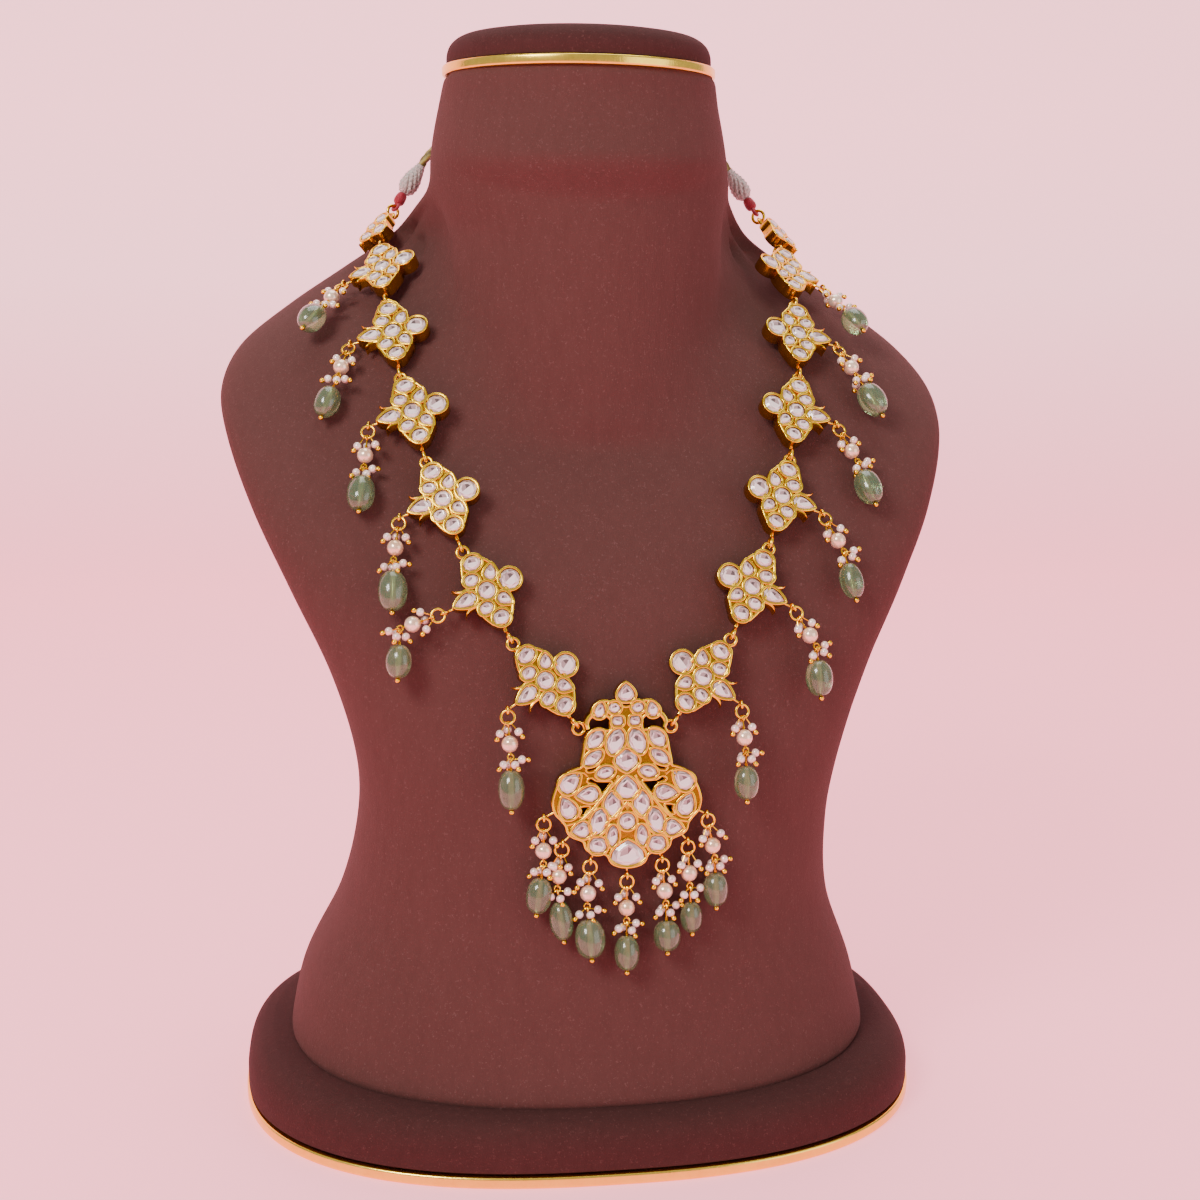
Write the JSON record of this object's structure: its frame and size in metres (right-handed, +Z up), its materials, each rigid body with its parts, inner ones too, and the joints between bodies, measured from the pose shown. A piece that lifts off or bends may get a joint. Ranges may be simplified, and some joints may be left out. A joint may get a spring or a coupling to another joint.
{
  "type": "kundan necklace on neck display bust",
  "caption": "Long stone-set gold necklace of pierced floral links and a domed pendant with pearl and green bead drops, tied by a cord, on a velvet neck bust.",
  "frame": {"origin": "middle of the foot of the bust's padded base, on the surface that it stands on", "axes": "+Z up, -Y is the front where the pendant hangs, +X is the viewer's right"},
  "size_m": [0.2683, 0.1962, 0.382],
  "materials": {
    "gold": "satin gold plate with bright rounded rims",
    "gold_wire": "bright gold wire",
    "gold_piping": "metallic gold braid",
    "stone": "clear foil-backed cut stone",
    "pearl": "cream pearl",
    "green_bead": "polished tumbled green stone",
    "velvet": "mauve-brown velvet",
    "velvet_pad": "dark brown velvet over a padded base",
    "velvet_dark": "dark brown velvet",
    "red_silk": "wound red silk",
    "silver_thread": "bound silver metal thread",
    "olive_cord": "twisted olive silk cord"
  },
  "bodies": {
    "root": {"bust_base": "velvet_pad", "base_trim": "gold_piping", "bust_body": "velvet", "neck_band": "gold_piping", "neck_cap": "velvet_dark", "pendant_setting": "gold", "pendant_stones": "stone", "motif_left_1": "gold", "motif_left_2": "gold", "motif_left_3": "gold", "motif_left_4": "gold", "motif_left_5": "gold", "motif_left_6": "gold", "motif_right_1": "gold", "motif_right_2": "gold", "motif_right_3": "gold", "motif_right_4": "gold", "motif_right_5": "gold", "motif_right_6": "gold", "end_piece_left": "gold", "end_piece_right": "gold", "stones_left": "stone", "stones_right": "stone", "drop_rings_left": "gold", "drop_rings_right": "gold", "drop_rings_pendant": "gold", "pearls_left": "pearl", "pearls_right": "pearl", "pearls_pendant": "pearl", "pearl_pins_left": "gold_wire", "pearl_pins_right": "gold_wire", "pearl_pins_pendant": "gold_wire", "bead_pins_left": "gold_wire", "bead_pins_right": "gold_wire", "bead_pins_pendant": "gold_wire", "bead_left_1": "green_bead", "bead_left_2": "green_bead", "bead_left_3": "green_bead", "bead_left_4": "green_bead", "bead_left_5": "green_bead", "bead_left_6": "green_bead", "bead_right_1": "green_bead", "bead_right_2": "green_bead", "bead_right_3": "green_bead", "bead_right_4": "green_bead", "bead_right_5": "green_bead", "bead_right_6": "green_bead", "bead_pendant_1": "green_bead", "bead_pendant_2": "green_bead", "bead_pendant_3": "green_bead", "bead_pendant_4": "green_bead", "bead_pendant_5": "green_bead", "bead_pendant_6": "green_bead", "bead_pendant_7": "green_bead", "cord_rings": "gold", "silk_wraps": "red_silk", "thread_bundles": "silver_thread", "neck_cord": "olive_cord"}
  },
  "joints": []
}
